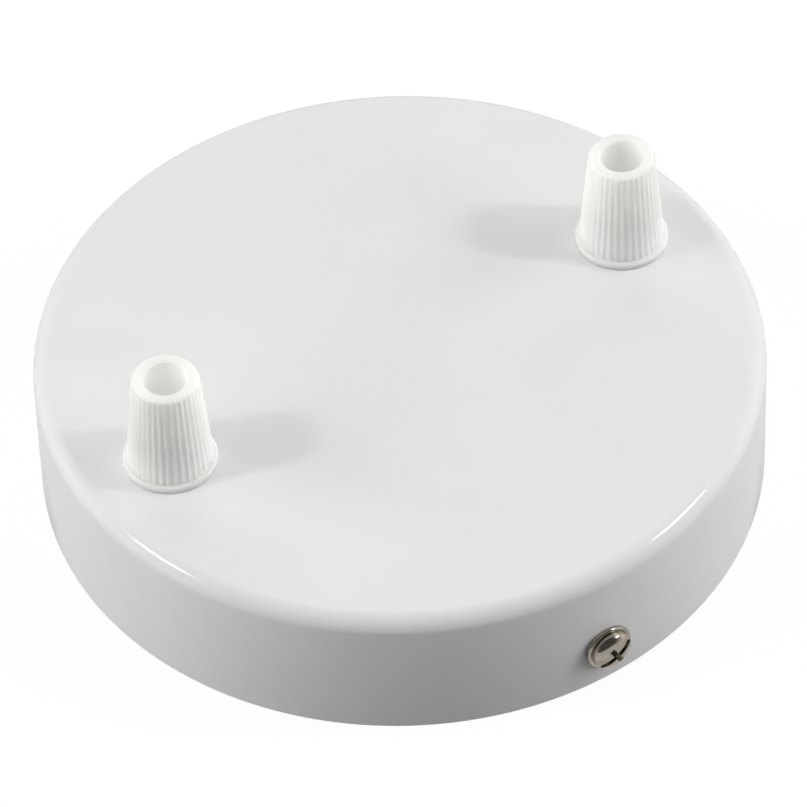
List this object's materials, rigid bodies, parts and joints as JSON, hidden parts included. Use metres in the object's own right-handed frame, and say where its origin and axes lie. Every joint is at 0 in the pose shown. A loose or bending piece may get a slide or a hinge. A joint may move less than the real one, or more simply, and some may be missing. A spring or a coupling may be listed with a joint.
{
  "type": "electrical ceiling rose",
  "caption": "Round pressed-steel ceiling rose in gloss white, with ribbed screw-down cord grips for pendant flexes, a ceiling bracket held by side screws and a terminal block inside.",
  "frame": {"origin": "centre of the cup's rim, in the plane that lies on the ceiling", "axes": "+Z from the ceiling to the cord grips, X along the line of the cord grips, Y along the side screws with the front one at -Y"},
  "size_m": [0.12, 0.1262, 0.044],
  "materials": {
    "white_powder_coat": "gloss",
    "white_nylon": "satin",
    "nickel_plate": "polished",
    "zinc_plate": "satin",
    "brass": "satin",
    "block_plastic": "satin"
  },
  "bodies": {
    "canopy": {"canopy_cup": "white_powder_coat", "mounting_bracket": "zinc_plate", "earth_screw": "brass", "earth_clamp_washer": "brass", "terminal_block_housing": "block_plastic", "terminal_tube_live": "brass", "terminal_tube_earth": "brass", "terminal_tube_neutral": "brass", "terminal_screws": "zinc_plate", "block_fixing_screws": "zinc_plate"},
    "left_cap": {"cord_grip_cap_left": "white_nylon"},
    "left_stem": {"cord_grip_stem_left": "white_nylon", "cord_grip_nut_left": "white_nylon", "cord_grip_washer_left": "zinc_plate"},
    "right_cap": {"cord_grip_cap_right": "white_nylon"},
    "right_stem": {"cord_grip_stem_right": "white_nylon", "cord_grip_nut_right": "white_nylon", "cord_grip_washer_right": "zinc_plate"},
    "front_washer": {"side_washer_front": "nickel_plate"},
    "front_screw": {"side_screw_front": "nickel_plate"},
    "rear_washer": {"side_washer_rear": "nickel_plate"},
    "rear_screw": {"side_screw_rear": "nickel_plate"}
  },
  "joints": [
    {"name": "left_cap_turn", "type": "hinge", "parent": "canopy", "child": "left_cap", "pos_m": [-0.044, 0, 0.025], "axis": [0, 0, 1], "range_deg": [0, 2160]},
    {"name": "left_stem_drop", "type": "slide", "parent": "canopy", "child": "left_stem", "axis": [0, 0, -1], "range_m": [0, 0.006]},
    {"name": "right_cap_turn", "type": "hinge", "parent": "canopy", "child": "right_cap", "pos_m": [0.044, 0, 0.025], "axis": [0, 0, 1], "range_deg": [0, 2160]},
    {"name": "right_stem_drop", "type": "slide", "parent": "canopy", "child": "right_stem", "axis": [0, 0, -1], "range_m": [0, 0.006]},
    {"name": "front_washer_slide", "type": "slide", "parent": "canopy", "child": "front_washer", "axis": [0, -1, 0], "range_m": [0, 0.0042]},
    {"name": "front_screw_turn", "type": "hinge", "parent": "front_washer", "child": "front_screw", "pos_m": [0, -0.0609, 0.008], "axis": [0, -1, 0], "range_deg": [0, 2160]},
    {"name": "rear_washer_slide", "type": "slide", "parent": "canopy", "child": "rear_washer", "axis": [0, 1, 0], "range_m": [0, 0.0042]},
    {"name": "rear_screw_turn", "type": "hinge", "parent": "rear_washer", "child": "rear_screw", "pos_m": [0, 0.0609, 0.008], "axis": [0, 1, 0], "range_deg": [0, 2160]}
  ],
  "couplings": [
    {"joint": "left_cap_turn", "follows": "left_stem_drop", "rad_per_m": 6283.2},
    {"joint": "right_cap_turn", "follows": "right_stem_drop", "rad_per_m": 6283.2},
    {"joint": "front_screw_turn", "follows": "front_washer_slide", "rad_per_m": 8976},
    {"joint": "rear_screw_turn", "follows": "rear_washer_slide", "rad_per_m": 8976}
  ]
}
